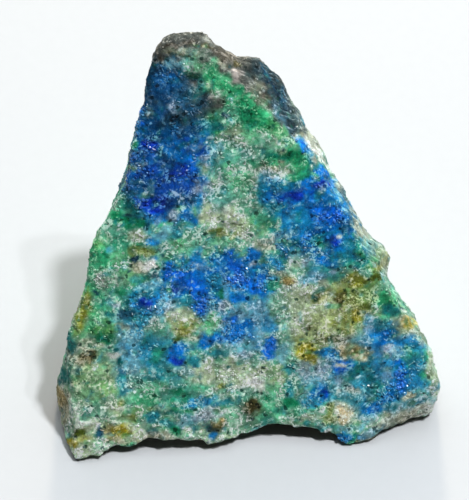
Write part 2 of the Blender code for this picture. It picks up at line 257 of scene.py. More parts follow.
# Where each mixture shows on the faces towards the viewer, in mm across and up from the middle of the view:
# (across, up, half width, half height), then its strength if that isn't the usual one, and its turn in
# degrees if it lies at a slant.
USUAL_STRENGTH = 0.8
SHOWS = {
    "moss": (
        (-3.8, 2.2, 0.8, 0.35), (-12.2, -0.4, 0.9, 0.3, 0.6), (-8.7, -11, 0.5, 0.3, 0.9),
        (-20.1, -21.9, 0.6, 0.4, 1), (-14.8, -22.2, 0.5, 0.25, 0.5), (15, -9, 1.2, 1, 0.25),
        (15.4, -3.5, 1.2, 0.45, 1), (14.8, -6.7, 1.1, 0.28),
    ),
    "pale_green": (
        (-1, 6, 9, 6, 0.9), (-1, -20.6, 8, 2.2, 0.7), (-6.4, 23.5, 2.6, 0.7, 0.5, -8),
        (-6.6, 21.8, 1.4, 0.9, 0.5), (-7.2, 22.5, 1, 0.4, 0.5, -8), (-3.6, 18.7, 0.9, 0.6),
        (0.3, 13.2, 1.3, 0.8), (3, 13.4, 1.5, 1, 0.9, -10), (3.6, 3.4, 0.3, 0.9, 0.7),
        (-17, -3.4, 1.7, 1.2, 1), (-15.2, -3.7, 1, 0.7), (-11.4, -9, 1, 0.9, 0.7),
        (-12.6, -17.6, 3.6, 2, 0.6), (-18.2, -18.6, 3.6, 3.2, 0.7), (-19.7, -19.6, 0.7, 1.1, 0.9),
        (3, -21.2, 2.2, 0.9, 0.7), (-1, -20.7, 2.1, 1.2, 0.9),
    ),
    "haze": (
        (-12, -9.6, 4.2, 6.2, 0.8, 20), (-8.6, 22.4, 1.7, 0.55, 0.9, -6), (-12, 16.5, 0.7, 0.4, 0.5),
        (-3.5, 11.9, 0.55, 0.9, 0.9), (5.3, 3.8, 0.7, 0.5, 0.5), (4.8, 1.8, 1.2, 0.5, 0.6),
        (-10.8, 1.7, 1.4, 0.7, 0.6), (-9.2, 2.5, 1.2, 0.8), (-16.6, -0.3, 0.7, 0.4, 0.4),
        (-14, -12.6, 1.6, 2.8, 0.8, 5), (-11.4, -4.3, 1.3, 0.4, 0.9), (-10, -6, 1.2, 1, 0.75),
        (1.6, -10.2, 0.4, 0.4, 0.6), (4.5, -12.3, 0.8, 1), (-13.8, -10.6, 1.4, 1),
        (-14.2, -12.6, 0.9, 1.8, 0.9), (-7.8, -14.6, 1, 0.35, 0.6), (-13.4, -14.3, 1.1, 1),
        (-14.9, -14, 1.7, 2.4, 0.4), (-14, -14.4, 1.9, 3.4, 0.6), (7.8, -15.6, 1.4, 0.7, 0.7),
        (13.6, -21, 1.6, 0.6, 0.8, 15), (18, -12.7, 1, 0.6, 0.7),
    ),
    "azurite": (
        (16.4, -13.6, 4.8, 3.2, 0.55, -15), (7.8, 3.6, 4.6, 6, 0.95, 35), (-6.4, 12.3, 1.5, 1.6, 0.6),
        (-9.5, 11, 5, 7.5, 1, 8), (-9.4, 20.4, 1.4, 0.8, 0.6), (-8.9, 12.4, 1.3, 0.8, 0.7),
        (-7.4, 10.8, 1, 0.9), (-10.6, 4, 1.2, 0.7, 0.7), (-7, 3.6, 0.9, 0.9, 0.9),
        (7.6, 4.6, 4.4, 3.8, 1, -20), (10.6, 3, 2.6, 5.2, 1, 33), (3, 7.2, 2.2, 1.3, 0.95),
        (9.4, -0.9, 1.7, 0.9, 0.9), (8.8, 9.4, 0.7, 1, 1, 35), (9.9, 8.2, 0.7, 0.9, 1, 35),
        (-11.2, 0.9, 0.8, 0.5, 0.7), (-5, -3.2, 5.6, 2.6, 1, -4), (-8.5, -3.6, 2.4, 1.8, 1, -15),
        (-11.6, -6, 2.2, 1.8, 0.9, -15), (0.4, -3.4, 2.4, 2.6, 1), (0.6, -0.7, 1, 1, 0.95),
        (-0.8, -5.9, 1.3, 0.7, 1), (-12.2, -6.1, 1.3, 0.9, 1, -20), (-1.2, -9.7, 1.5, 1.3, 1),
        (-4, -10.7, 1.6, 0.85, 1, 10), (-8.2, -12.6, 1.4, 1.1, 1, -10), (-3.6, -22.3, 0.6, 0.4),
        (8.7, -17.1, 1.1, 1, 1), (9.8, -12.3, 1.1, 0.7), (12, -22.7, 1.4, 0.6, 0.9, 5),
        (16.4, -10.2, 1.5, 1.2, 1), (18.6, -14.9, 1, 1.8, 1), (16.4, -17.4, 1.5, 0.9),
        (15.3, -18.9, 1.2, 0.8, 0.9), (15.6, -19.2, 0.5, 0.4),
    ),
    "cobalt": (
        (-12.9, 16, 0.5, 1.3, 1, 8), (-6.7, 10.1, 1, 0.9, 1), (9.5, 4.1, 1.9, 1, 1), (8.5, 3.4, 0.9, 0.6),
        (6.9, 12.9, 0.4, 1.1, 0.9, 40), (-8.6, -3, 1.6, 1, 1), (-7.3, -3.8, 1.6, 0.9, 1, -10),
        (-6.2, -4.8, 1, 1, 1), (-5.7, -6.3, 0.9, 1.4, 1), (-1.3, -1.9, 0.8, 1.3, 0.9),
        (-1.2, -3.7, 1.3, 0.8, 0.9), (1.2, -4.3, 1.2, 1.3), (-2, -8.3, 0.9, 0.6, 0.9),
        (2.4, -11.6, 1, 1.5, 1), (11, -13.9, 1.3, 0.95, 1), (18.6, -14.9, 0.6, 1.3, 0.7),
    ),
    "ultramarine": (
        (-6.6, 12.4, 1.5, 1.5, 0.6), (-9.6, 8.6, 3.4, 3.4, 0.45), (-12, 12.7, 1, 0.5, 0.9, -15),
        (-10.9, 12.8, 0.7, 0.4), (-8.1, 9.2, 1.1, 0.65, 1, 15), (-11.3, 5.5, 2.4, 1.1, 1),
        (5.8, 6.4, 1.2, 0.7, 0.95), (8.9, 7.7, 0.9, 0.5, 1, 20), (10.6, 1.1, 0.9, 0.6, 0.9),
        (-9, -4.5, 0.8, 0.45), (-12, -6.3, 0.7, 0.5, 0.9, -30), (-7.7, -13.7, 0.9, 0.5, 1, -10),
        (9.2, -17.2, 0.5, 0.5),
    ),
    "navy": (
        (-6.4, 12.4, 1.4, 1.4, 0.3), (-10.6, 8, 3.6, 4.2, 0.3, 8), (-9.6, 13.5, 4.6, 6.5, 0.4, 8),
        (-9.6, 19.4, 3.8, 3.6, 1), (-8.6, 16, 4, 2.6), (-6.4, 14.5, 0.9, 0.6), (-9.6, 10, 1, 0.6, 0.7),
        (-12.6, 7.7, 1.8, 0.7, 0.7), (-8.8, 5.4, 1, 1.4, 0.7), (-6.9, 5.8, 0.7, 0.8, 0.7),
        (12, 6.4, 1.5, 1.6, 0.35), (11.8, 2.5, 1.1, 0.6, 0.8, -30), (9.9, -2, 0.5, 0.3),
        (-12.4, 3.6, 1.6, 1.3, 0.5), (-17.8, -22.1, 0.6, 0.75),
    ),
    "night": (
        (3, 20, 0.3, 2, 0.6, 35), (4.2, 18, 0.25, 1.8, 0.6, 35), (-11.9, 20.8, 1, 2, 0.95, -15),
        (-12.2, 19.6, 0.6, 0.9), (-9.3, 15.3, 1.3, 0.8, 0.95, 10), (-10.1, 11.2, 1.2, 0.35, 0.6, -35),
        (-2.6, 16.3, 0.5, 0.35), (4.6, 12.6, 0.3, 0.25), (-12.6, 3.2, 1.3, 1.1, 0.35),
        (-14.2, 4.1, 0.6, 0.4), (-13.2, -1.4, 0.42, 0.34, 1), (-10.15, -0.9, 0.34, 0.3, 0.9),
        (-11, -3.5, 0.7, 0.33, 0.85), (-13.9, -2.7, 0.3, 0.3), (-18.4, -4.9, 0.5, 0.3, 0.9),
        (-14.4, -7.8, 0.8, 0.8, 0.7), (18.4, -7, 0.25, 0.25), (11.5, 6.5, 0.4, 0.16, 0.9, -50),
        (14, 3.3, 0.5, 0.14, 0.8, -50),
    ),
    "ink": (
        (-7.3, 15.7, 1.2, 1, 0.85), (-5, 17.4, 1.2, 1.6, 0.5, 10), (-4.2, -21.4, 1, 0.6, 0.9),
    ),
    "sky": (
        (-3.6, -5.4, 7.2, 4.6, 0.75, -8), (-10.2, 22.3, 0.6, 0.6, 0.5), (-5.9, 13.6, 0.9, 0.7, 0.5),
        (-8.8, 11.2, 1.4, 0.7, 0.6, -20), (-6, 5.3, 0.35, 1.2), (10.2, 6, 1.4, 1.5, 0.5, 30),
        (11.5, 5.3, 0.4, 1.4, 0.6, 35), (7.6, 12, 0.35, 0.9, 0.7, 40), (0.3, -4.2, 2.8, 2.2, 0.75),
        (-12.8, -9.6, 1.8, 2.4, 0.6, 15), (-11.2, -12.2, 1.2, 1.6, 0.5), (0.8, -3.4, 2.2, 1.8, 0.5),
        (-4.4, -4, 1.2, 1, 0.4), (3, -1.2, 1.3, 0.8, 0.85), (2.8, -9, 0.9, 1, 0.7),
        (-14.3, -12.3, 0.5, 1.2, 0.5), (-15, -14.8, 0.6, 0.5, 0.6), (-6, -18.3, 2.3, 0.55, 0.85, 8),
        (7.5, -18.4, 1.3, 0.8, 0.6), (20.2, -15.8, 0.9, 1.5, 0.6), (15.4, -10, 0.9, 0.9, 0.6),
        (19.5, -11.5, 1.8, 0.9, 0.9, -8),
    ),
    "blue_grey": (
        (-0.5, -9.4, 5.2, 4.2, 0.85, -10), (14.5, -15.4, 7.6, 5.2, 0.85, -10), (4, 16.2, 0.5, 1.8, 0.45, 40),
        (-7.2, 18.6, 1.6, 2.4, 0.3), (2.4, 9.1, 1.4, 0.5, 0.6, 20), (8.3, -3.3, 1.2, 0.7),
        (-2.4, -4.7, 0.6, 1.1), (0.6, -7.6, 2.6, 1.6, 0.95, -5), (-7, -20.5, 1.3, 1, 0.7),
        (14.9, -8.6, 1.1, 0.8, 0.9), (18.8, -10.6, 1, 0.4, 0.6), (15.2, -22, 1.6, 0.5, 0.7, 15),
    ),
    "deep_green": (
        (-0.6, 19.3, 0.4, 0.6, 0.7, 20), (-0.4, 17.6, 0.8, 0.8, 0.5), (0.2, 16.2, 0.7, 0.6, 0.6),
        (0.6, 15.1, 2, 0.35, 0.6), (5.9, 9.5, 1.2, 1.2, 0.5), (4.2, 11.6, 1.7, 0.7, 0.95, -5),
        (5.8, 11.4, 1.2, 0.9, 0.9), (1.6, 10.6, 1.4, 0.45, 0.7), (7.1, 11.3, 0.8, 0.5, 0.8, -40),
        (9, 9.6, 1.3, 1.5, 0.35, 20), (13.6, -0.4, 0.6, 0.5, 0.9), (-12.4, -4, 1.3, 0.7, 0.5),
        (-15, 3.8, 0.7, 0.8, 0.7), (-13.3, 3, 1.1, 0.7, 0.9), (-12.5, 0.5, 0.5, 0.3, 0.7),
        (-17.2, -0.4, 0.3, 0.5), (-15, -5, 0.7, 0.4), (-17, -10.8, 1.3, 0.6, 0.9), (-3, -5, 0.25, 0.6),
        (-8, -17, 0.9, 0.7), (-8.7, -21.5, 0.6, 0.5, 0.9), (5.2, -18.6, 0.9, 0.5, 0.95),
        (2.4, -18, 0.5, 0.4, 0.7),
    ),
    "teal": (
        (-11, -13, 3.6, 3.4, 0.6), (14.5, -16.4, 6.2, 3, 0.6, 10), (-4.6, 14.8, 1.1, 0.9),
        (-3.3, 9.4, 1.5, 1.5, 0.35), (-1.8, 12, 3.2, 1.8, 0.3), (-3.3, 6.4, 1.5, 1.6, 0.4),
        (9, -2.8, 1.9, 1.4, 0.65), (15, 0.2, 1, 1.6, 0.35, 35), (4.4, 8, 1, 0.6, 0.6),
        (1.8, 7.6, 0.9, 1.1, 0.7), (3.4, 5.5, 1.4, 0.8), (12.5, 0.6, 1.3, 0.8, 0.9),
        (6.4, 3.6, 2.2, 1.6, 0.5), (8.8, 0.8, 1.2, 0.7, 0.9), (11.6, -1, 1.4, 0.9, 0.9),
        (8.2, 10.8, 0.4, 0.9, 0.8, 38), (-12.6, 3.4, 1.6, 1.5), (-8.4, 2, 0.6, 0.6), (-3.6, -4, 0.8, 1, 0.6),
        (2.7, -4.2, 0.8, 0.6, 0.7), (-12.4, -5.2, 1.4, 0.8, 0.7), (-7.7, -5.9, 1.3, 0.5, 0.9),
        (-3.6, -12.5, 1.3, 0.5), (-13.2, -8, 1.2, 1, 0.7), (-11.9, -11, 1, 0.9, 0.6),
        (-10.4, -12.7, 1.2, 1.3), (-6.3, -13.4, 0.7, 0.5, 0.9), (-15.1, -16, 0.8, 1),
        (-10.8, -15, 1.2, 0.8, 0.7), (-2.5, -18.3, 0.9, 0.4), (-11.3, -20, 0.8, 0.9, 1),
        (-9.8, -20.8, 0.9, 0.7), (2.4, -20.4, 0.8, 0.6, 0.4), (5.1, -16.7, 0.5, 0.9, 0.9),
        (5.4, -14.4, 0.6, 0.8), (14.2, -14.6, 1.6, 1.3, 1), (16.2, -8.8, 0.9, 0.6),
        (20.5, -14, 1.4, 1.8, 0.5), (15.2, -16.8, 1.2, 0.9),
    ),
    "dark_green": (
        (-6.75, 20.9, 0.6, 0.4, 0.9, 15),
    ),
    "grass": (
        (3.6, 14.6, 0.9, 1.4, 0.4, 40), (2, 3.2, 1.5, 1.4, 0.4), (-17.6, 1, 0.8, 0.9, 0.6),
        (-16.8, -9.8, 1.6, 1, 0.85), (-18.6, -16, 2.2, 1.6, 0.25), (18, -6.2, 1.5, 1.2, 0.5),
        (14.6, -4.6, 1.4, 1.6, 0.35, -30),
    ),
    "lime": (
        (-17.6, -17.2, 4.2, 3.8, 0.75),
    ),
    "sage": (
        (0, -6, 24, 16, 0.9), (0, -15, 14, 5, 0.6), (-5.9, 19.4, 0.6, 0.9, 0.4), (-2, 16.2, 1.4, 1.2),
        (1.7, 12.4, 1, 0.9, 0.9), (-2.4, 11, 1.4, 2.2), (-2.6, 6.8, 1.6, 0.8, 0.7), (0.6, 5.2, 1.5, 1.3),
        (-12.6, -3.4, 1.6, 0.9, 0.7), (-16.8, 2.4, 1.2, 1.4, 0.9), (-6.2, 2, 1.4, 1.2),
        (-16.2, -5.2, 1.1, 0.6, 0.7), (4.2, -9, 0.9, 3, 0.7), (-10.6, -9.6, 1.2, 1),
        (-12.8, -15.6, 1.3, 1.2), (-18, -19.4, 1.4, 0.9, 0.7), (0.8, -12.6, 1.1, 0.9, 0.6),
        (18.4, -5.4, 0.7, 2.4, 0.8, 32),
    ),
    "mint": (
        (-6, 21.8, 1, 0.7, 0.8, -10), (-2.8, 19.5, 2.8, 1.1, 0.75, -32), (2.6, 16.4, 3.4, 0.6, 0.6, -48),
        (-2.2, 20.6, 2, 0.4, 0.6, -25), (-1.5, 18.4, 0.6, 0.35, 0.9), (0.3, 13.5, 1, 0.65, 0.6),
        (-2, 9.3, 1.6, 0.8), (4.8, 10.2, 1.4, 0.45, 0.6, -5), (8, 9, 0.5, 0.6, 0.6),
        (-3.3, 0.8, 0.8, 0.4, 0.7), (-7.8, 0.6, 1.6, 1.2, 0.75), (-14.8, -1.9, 1.4, 1.2, 1),
        (-15.8, -0.9, 1, 0.7, 0.7), (-13.8, -4.4, 0.8, 0.8, 0.7), (-4, -8.8, 1.2, 1, 1),
        (-10.5, -16.5, 1.2, 0.6, 0.6), (-17, -16.6, 1.3, 0.9, 0.4), (-12.8, -17.6, 1.7, 0.9, 0.7),
        (-12.6, -19.4, 1.2, 0.6, 0.6), (3.6, -14.8, 1.2, 0.8, 0.3), (3.2, -16.8, 1.5, 0.6, 0.7),
    ),
    "deep_teal": (
        (-9.5, -17.2, 4, 1.6, 0.3), (-6.1, 19, 0.9, 1.4, 0.5), (-3.6, 14.8, 0.6, 0.5),
        (-7.6, 12.7, 0.8, 0.4, 0.6), (-13.6, 4.9, 0.7, 1, 0.9), (9, 9.4, 1.4, 1.7, 0.55, 20),
        (13.2, 1, 0.7, 0.3, 0.8, -30), (5.2, 0.8, 1, 0.5, 0.7), (-15.4, 1.6, 2.4, 2.6, 0.25),
        (-14.8, 6.2, 1, 1.5, 0.5), (-14.4, -6.2, 0.5, 0.8, 0.9), (-16.3, -8, 0.7, 0.45, 0.9),
        (-20.9, -11, 0.9, 1.2), (-16.1, -12.3, 0.5, 0.3, 0.9), (-15.6, -13.7, 0.4, 0.35, 1),
        (-22, -15, 0.6, 1.2), (-2.4, -13.9, 0.3, 0.2), (-9.3, -19.4, 1.4, 0.6, 0.6), (12.3, -15, 0.8, 0.6),
        (14.7, -15.6, 0.8, 0.5, 0.7), (16.9, -7.2, 0.8, 0.7, 1), (18, -18.9, 0.3, 0.3, 0.7),
    ),
    "chalk": (
        (-4.8, 25, 0.8, 0.35, 0.4, -12), (11.3, 1.7, 0.55, 0.42, 1), (-2.3, 4.8, 0.6, 1, 0.7),
        (-11.4, -2.1, 0.85, 0.55, 1, -20), (-16.4, -13.2, 0.7, 0.45, 0.9), (-20.3, -19.8, 0.2, 1.5, 0.8, 4),
        (-18.8, -21.1, 1.3, 0.35, 0.8, -5), (-1.7, -16.4, 0.6, 0.35, 0.7), (1, -16, 1.05, 0.75, 1),
        (11.2, -13.9, 0.4, 0.3, 1), (9.6, -21.6, 0.4, 0.32, 1), (18.8, -7.3, 0.4, 0.15, 0.8, -20),
        (21.4, -19.4, 2, 0.7, 0.6, 25), (16.6, -20.2, 1.6, 0.18, 0.5, 12), (8.8, 11.4, 0.22, 2.4, 0.9, 36),
    ),
    "lilac": (
        (-8.7, 17.2, 1, 0.55, 0.6), (-9.2, 18.2, 0.6, 0.3, 0.5), (-5, 10.8, 0.5, 0.4, 0.7),
        (-4.6, 9.9, 0.5, 0.35, 0.6), (-8.6, 6.4, 0.7, 0.3, 0.5, -30), (-10.5, 3.7, 0.3, 0.7, 0.6, -25),
        (-8.4, 4, 0.9, 0.7, 0.7), (-6.1, 6.9, 0.7, 1.3), (-4.8, 7.6, 0.6, 0.6, 0.7),
        (8.8, 6.9, 0.6, 0.2, 0.5, 35), (7, -1.3, 0.9, 0.9, 0.7), (10.2, -2.6, 0.6, 0.4),
        (-15.4, -6.9, 0.6, 0.5), (-5.4, -1.9, 1.8, 0.5, 0.5, -5), (0.6, -1.9, 0.85, 0.45, 0.95),
        (-0.6, -4.8, 0.7, 0.25, 0.6), (-2.4, -6.5, 0.8, 0.6), (-9, -6.4, 0.7, 0.6, 0.6),
        (-0.7, -10.9, 0.8, 0.4, 0.5), (-0.3, -12.3, 0.8, 0.6, 0.6), (-5, -19.7, 1.4, 0.9, 0.7),
        (6.9, -14.2, 0.9, 0.8, 0.6), (9.2, -14.4, 1, 1, 0.7), (11.6, -16.3, 0.9, 0.9),
        (14.8, -9.5, 0.6, 0.5, 0.5), (16.9, -12.3, 1.1, 0.8), (16.4, -15, 1.2, 1, 0.55),
    ),
    "olive": (
        (-1.9, 1.5, 1.4, 0.5, 0.6), (-13.4, -3.1, 1.2, 0.8, 0.35), (-12.6, -0.6, 1.6, 0.6),
        (-19.6, -7.6, 0.9, 2.5, 0.6, -8), (-7.8, -9.6, 1.5, 1.2, 0.5), (-19.4, -9, 1.9, 2.4, 0.3),
        (-20.6, -23.4, 1.6, 1, 0.35), (-2.7, -16.3, 0.45, 0.4), (3.8, -14.8, 1.4, 0.9, 0.45),
        (7.1, -12.1, 1.1, 1.2), (9.7, -19.2, 0.7, 0.6), (9.8, -20.5, 1, 0.6, 0.7), (9, -9, 1.8, 1.8, 0.3),
        (8.8, -9, 3, 3.4, 0.25), (13.6, -8, 2.6, 1.8, 0.4), (12.6, -5.6, 3.4, 2.2, 0.45, -20),
        (7.6, -11.6, 2.2, 1.8, 0.45), (13, -5.2, 3.2, 2, 0.45, -20), (8.4, -5.6, 0.9, 0.5, 0.7),
        (11.4, -5.8, 1.4, 0.7), (15.3, -2.4, 0.9, 0.6), (12.2, -8.6, 1.2, 1.1),
        (16, -0.9, 0.9, 1.4, 0.4, 25),
    ),
    "cream": (
        (8.5, -7.6, 5.5, 5.5, 0.95), (-1.5, -14.8, 5.6, 2, 0.75), (-4.9, 19.9, 0.5, 0.4),
        (-1.3, 13.4, 1.3, 0.9, 0.9), (3.8, 13.1, 0.5, 0.4, 0.6), (4.3, 9.5, 1.3, 0.5),
        (-4.6, 4.6, 1.7, 1.5, 1), (-1.4, 3.4, 2, 2, 1), (-13, 1.4, 1.2, 0.9, 0.9),
        (-7.8, -8.6, 2.3, 1.7, 0.9), (-8.1, -7.3, 1.3, 1, 0.9), (-13.6, -21.8, 2.2, 0.8),
        (-17.6, -11.7, 0.5, 0.4, 0.9), (-18.4, -14.4, 0.4, 0.4, 0.9), (-16, -19.4, 1.2, 0.7, 0.6),
        (-13, -21.5, 1.2, 0.5, 0.9), (-19.8, -22.8, 0.8, 0.5), (-19.9, -24.4, 2, 0.8, 0.9),
        (-5, -14.6, 1.6, 1.3, 0.9), (-1.6, -14, 1.3, 1, 0.7), (0.4, -15.4, 2.6, 1.4),
        (-1.6, -22.2, 2.2, 0.4, 0.8, 5), (7, -20.3, 1.5, 0.5), (7.4, -8.2, 2.6, 3, 0.6),
        (5.6, -1.4, 1, 0.7, 0.7), (22.3, -14.6, 0.6, 2.8, 0.9, 5),
    ),
    "malachite": (
        (-16.5, -3, 4, 7, 0.7, 15), (-4.6, 21.6, 0.9, 1.2, 0.9, -20), (-2.3, 19.6, 1.8, 1.1, 1, -30),
        (0.4, 17.2, 2, 2, 1, 40), (2.2, 15.6, 1.6, 1, 0.9, -40), (0.8, 16, 6.4, 2, 1, -45),
        (-3.4, 20.2, 2.6, 1.7, 0.9, -25), (-4.1, 20.3, 0.7, 0.9, 0.9), (3.6, 10.6, 0.6, 0.6, 0.9),
        (6.6, 10.4, 1, 0.9, 0.9), (6, 8.9, 1.3, 0.5), (-0.6, 8.4, 1.2, 1.4, 0.6), (8.8, 0.6, 0.6, 0.4, 0.5),
        (12.4, -1.7, 0.9, 0.5, 0.5), (2, 3.6, 1.4, 1.2, 0.35), (-15, 3.6, 1.3, 1.3, 0.9),
        (-18.5, -8.6, 0.9, 1.2, 0.5), (3.4, -4.2, 0.7, 0.5, 0.6), (-10.4, -12.6, 0.9, 1, 0.5),
        (-11.6, -18.2, 1.4, 0.7, 0.6), (2.8, -19.3, 1.6, 1.2, 0.4), (14.3, -1.7, 1, 0.8, 0.5),
        (16.5, -5.8, 1, 0.9, 0.9),
    ),
    "gold": (
        (-19.7, -7.6, 0.55, 2.1, 0.55, -8), (-7.8, -9, 1.7, 1.45, 0.35), (-7.8, -9.4, 0.9, 0.8, 0.3),
        (-17, -16.6, 0.9, 0.7, 0.2), (-15.1, -21.8, 0.95, 0.65, 1), (-21.2, -23.1, 0.75, 0.55, 1),
        (-19.8, -22.8, 0.5, 0.3, 0.4), (7.1, -12.1, 0.9, 1.1, 0.5), (7.5, -12.6, 1, 1, 0.6),
        (11.6, -5.6, 1, 0.5, 0.3), (13.3, -3.8, 1.1, 0.6, 0.55), (13.1, -8.4, 0.8, 0.7, 0.7),
        (19.4, -8.9, 0.6, 0.6, 0.6),
    ),
    "ochre": (
        (-15.4, -22.2, 2.4, 0.9, 0.7, -5), (-22.2, -17.6, 0.8, 1.6, 0.6, 3), (-3.2, -20.6, 0.6, 0.5, 1),
        (12.6, -12.2, 1.8, 1, 0.7), (4.8, -3.4, 1, 0.7, 0.9), (19.2, -8.7, 0.9, 0.8, 0.7),
        (12.9, -12.3, 1, 0.5),
    ),
    "apricot": (
        (11.7, -19.5, 1.5, 1.1, 1), (13.2, -13.1, 0.9, 0.35, 0.7), (19.7, -17.4, 0.9, 0.5, 0.8, 10),
    ),
    "tan": (
        (-9.2, 23.7, 1, 0.35, 0.6, -8), (-6.6, 23.8, 0.9, 0.35, 0.6, -5), (-2.8, 22.5, 0.8, 0.5, 0.6, -20),
        (1.2, 19.6, 0.8, 1.4, 0.35, 25), (9.4, -3.9, 0.8, 0.5), (2.3, 0.5, 1.1, 0.8, 0.7),
        (-12.6, -2.3, 1.2, 0.6, 0.95), (-14.6, -9.2, 0.8, 0.4, 0.7), (-6.3, -10.4, 0.9, 0.5, 0.7),
        (-22.2, -18.4, 0.9, 3.4, 0.9, 3), (-18.6, -11.1, 1, 0.5, 0.6), (-21.9, -17.6, 0.9, 1.6, 0.95, 5),
        (-22.2, -19.6, 0.6, 0.9), (-12.4, -22.6, 3.4, 0.6, 0.9), (-3.4, -21.4, 1.6, 1.1, 0.3),
        (12.6, -17.1, 0.8, 0.5, 0.6), (4, -2.6, 1, 0.6, 0.6), (18.7, -9.2, 1.4, 1.4),
        (19.5, -20.2, 1.6, 0.6, 0.7, 25),
    ),
    "umber": (
        (-5.4, 24.4, 1.6, 0.15, 0.7, -8), (-8, 23.3, 1.6, 0.14, 0.6, -6), (-0.9, 22.4, 0.5, 0.35, 0.9, -30),
        (-2, 22.3, 0.5, 0.25, 0.7), (-19.2, -13, 1, 0.9, 0.95), (-3.4, -21.7, 0.8, 0.5, 0.5),
        (0.4, -18.6, 1, 0.9, 1), (-3, -20.9, 0.4, 0.3, 0.6), (8.2, -5.3, 0.35, 0.3), (7.6, -9.4, 0.45, 0.3),
        (10.9, -6.4, 0.5, 0.55, 0.9), (11.6, -5.7, 0.7, 0.35, 0.7), (11, -10.6, 1.6, 0.35, 0.5),
    ),
    "crest_rock": (
        (-6.6, 24.9, 5, 2.2, 1, -4), (-1.6, 23.3, 2.6, 1.6, 1, -28),
    ),
    "crest_brown": (
        (-9.2, 24.6, 1.3, 0.4, 0.9, 5), (-7, 24.9, 0.9, 0.3), (-2.2, 23.6, 1.6, 0.8, 0.8, -28),
        (1.8, 18.4, 0.8, 1.8, 0.7, 30),
    ),
    "slate": (
        (2.2, 21.2, 2.2, 2, 1, -40), (3.6, 18.4, 1.6, 3.4, 1, 30), (5, 16, 0.9, 2.4, 1, 36),
        (5.9, 15.6, 0.9, 1.7, 0.55, 35),
    ),
    "flank": (
        (17.6, -21, 4.6, 1, 0.9, 22), (19.2, -4.9, 2.9, 0.55, 0.9, -52), (9.4, 11.2, 0.9, 3.6, 1, 36),
        (12.3, 6, 0.9, 3.6, 1, 35), (14.4, 2.2, 0.9, 2.4, 1, 35), (16, -0.9, 1.1, 1.8, 1, 25),
        (20.4, -9.6, 0.7, 2, 0.7, 20),
    ),
    "rose": (
        (-1.3, 21.3, 1, 0.75, 1),
    ),
}

# How far the patches are pushed about in wide and in fine waves, and how wide the waves are, in mm.
WIDE_PUSH, WIDE_PUSH_SIZE = 0.42, 2.6
FINE_PUSH, FINE_PUSH_SIZE = 0.34, 0.9

# Where a patch ends and where it is full, in shares of its half width, and how ragged its edge is.
EDGE_OUT, EDGE_IN = 1.45, 0.55
RAGGED = 0.46

# Grains that stray over the rest: (mixture, blotch size in mm, where it starts and is full, seed, strength).
STRAYS = (
    ("deep_teal", 1.0, 0.45, 0.9, 31, 0.40),
    ("pale_green", 1.1, 0.45, 0.9, 32, 0.35),
    ("sky", 0.9, 0.55, 0.9, 33, 0.30),
    ("malachite", 1.2, 0.55, 0.95, 34, 0.30),
)


def as_seen(points):
    """Where each point shows to the viewer: mm across and up from the middle of the view."""
    aim = np.array(LOOKED_AT)
    away = (points - aim) / MM
    depth = away[:, 1] * math.cos(LOOK_DOWN) - away[:, 2] * math.sin(LOOK_DOWN)
    up = away[:, 1] * math.sin(LOOK_DOWN) + away[:, 2] * math.cos(LOOK_DOWN)
    shrink = (LOOK_FROM / MM) / (LOOK_FROM / MM + depth)
    return away[:, 0] * shrink + aim[0] / MM, up * shrink


def facing_viewer(normals):
    towards = np.array([0, -math.cos(LOOK_DOWN), math.sin(LOOK_DOWN)])
    return normals @ towards


class MineralMap:
    """The mixture at each point of the skin: its colour, its flecks, and how much is flecks and pits."""

    def __init__(self, count):
        self.depth = np.zeros((count, 3))
        self.flecks = np.zeros((count, 3))
        self.shares = np.zeros((count, 2))

    def lay(self, name, cover):
        colour, flecks, *shares = MIXTURES[name]
        cover = cover[:, None]
        own = (np.array(linear(*colour)) * BODY_LIGHT) ** STAIN
        pale = np.clip(np.array(linear(*flecks)) * FLECK_LIGHT, 0, PALEST)
        self.depth += (own - self.depth) * cover
        self.flecks += (pale - self.flecks) * cover
        self.shares += (np.array(shares) - self.shares) * cover

    @property
    def colour(self):
        return self.depth ** (1 / STAIN)


